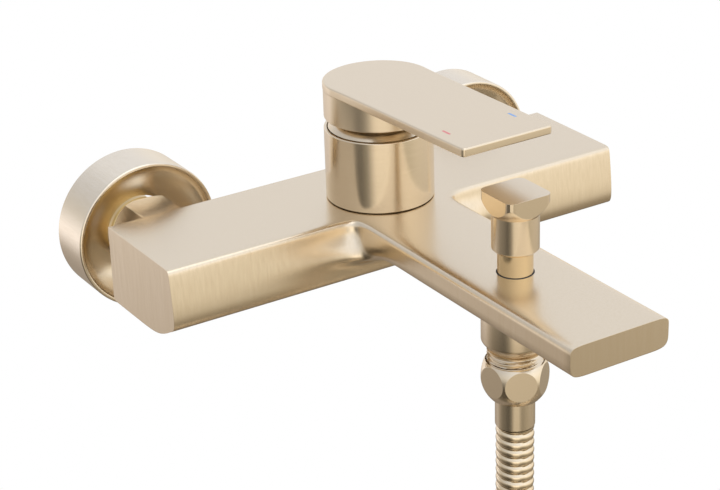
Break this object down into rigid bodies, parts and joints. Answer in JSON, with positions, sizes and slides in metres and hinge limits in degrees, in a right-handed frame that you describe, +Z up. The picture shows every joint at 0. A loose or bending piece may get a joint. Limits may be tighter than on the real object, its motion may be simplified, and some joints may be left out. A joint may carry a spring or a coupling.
{
  "type": "wall mounted bath shower mixer",
  "caption": "Wall-mounted bath mixer: bar body with flat spout, lever tower, pull-up diverter, round wall covers and a coiled hand-shower hose.",
  "frame": {"origin": "on the wall plane, midway between the two wall unions, at the height of their axes", "axes": "+X along the bar to the right seen from the room, +Y into the wall, +Z up"},
  "size_m": [0.2328, 0.2351, 0.3484],
  "materials": {
    "champagne": "brushed champagne-gold coating on brass",
    "raw_brass": "machined yellow brass",
    "steel": "plain stainless steel",
    "ceramic": "lapped white alumina ceramic",
    "white_plastic": "moulded white acetal",
    "rubber": "black sealing rubber",
    "hose": "champagne-gold spiral sleeve over a plastic hose",
    "tie": "black hook-and-loop strap",
    "hot_enamel": "red enamel",
    "cold_enamel": "blue enamel"
  },
  "bodies": {
    "body": {"aerator_housing": "champagne", "aerator_insert": "white_plastic", "aerator_seal": "rubber", "cartridge_base": "white_plastic", "cartridge_housing": "white_plastic", "cartridge_sleeve": "champagne", "check_valve": "white_plastic", "coupling_nut_left": "champagne", "coupling_nut_right": "champagne", "diverter_bonnet": "champagne", "diverter_spring": "steel", "end_ferrule": "champagne", "end_washer": "rubber", "escutcheon_left": "champagne", "escutcheon_right": "champagne", "fixed_disc": "ceramic", "hose_coil": "hose", "hose_ferrule": "champagne", "hose_nut": "champagne", "hose_tail": "hose", "hose_tie": "tie", "hose_tube": "hose", "hose_washer": "rubber", "mixer_body": "champagne", "outlet_tail": "champagne", "port_seal_cold": "rubber", "port_seal_hot": "rubber", "retaining_nut": "raw_brass", "union_washer_left": "rubber", "union_washer_right": "rubber", "wall_union_left": "raw_brass", "wall_union_right": "raw_brass"},
    "turn": {"dome_collar": "champagne", "cartridge_carrier": "white_plastic", "pivot_pin": "steel"},
    "lever": {"lever_handle": "champagne", "lever_screw": "steel", "screw_cap": "champagne", "lever_spindle": "steel", "hot_mark": "hot_enamel", "cold_mark": "cold_enamel"},
    "disc": {"moving_disc": "ceramic"},
    "diverter": {"diverter_knob": "champagne", "diverter_stem": "steel", "diverter_valve": "rubber", "valve_nut": "raw_brass"},
    "cone": {"cone_nut": "champagne"}
  },
  "joints": [
    {"name": "lever_turn", "type": "hinge", "parent": "body", "child": "turn", "pos_m": [0, -0.0677, 0.028], "axis": [0, 0, 1], "range_deg": [-45, 45]},
    {"name": "lever_lift", "type": "hinge", "parent": "turn", "child": "lever", "pos_m": [0, -0.0677, 0.028], "axis": [-1, 0, 0], "range_deg": [0, 25]},
    {"name": "disc_slide", "type": "slide", "parent": "turn", "child": "disc", "axis": [0, -1, 0], "range_m": [0, 0.00381]},
    {"name": "diverter_lift", "type": "slide", "parent": "body", "child": "diverter", "axis": [0, 0, 1], "range_m": [0, 0.007], "stiffness_N_per_m": 100, "springref_m": -0.02, "deforming": ["diverter_spring"]},
    {"name": "cone_nut_spin", "type": "hinge", "parent": "body", "child": "cone", "pos_m": [0.08923, -0.20163, -0.17269], "axis": [0.7798, -0.0917, -0.6193], "continuous": true}
  ],
  "couplings": [
    {"joint": "disc_slide", "follows": "lever_lift", "m_per_rad": 0.0087}
  ]
}
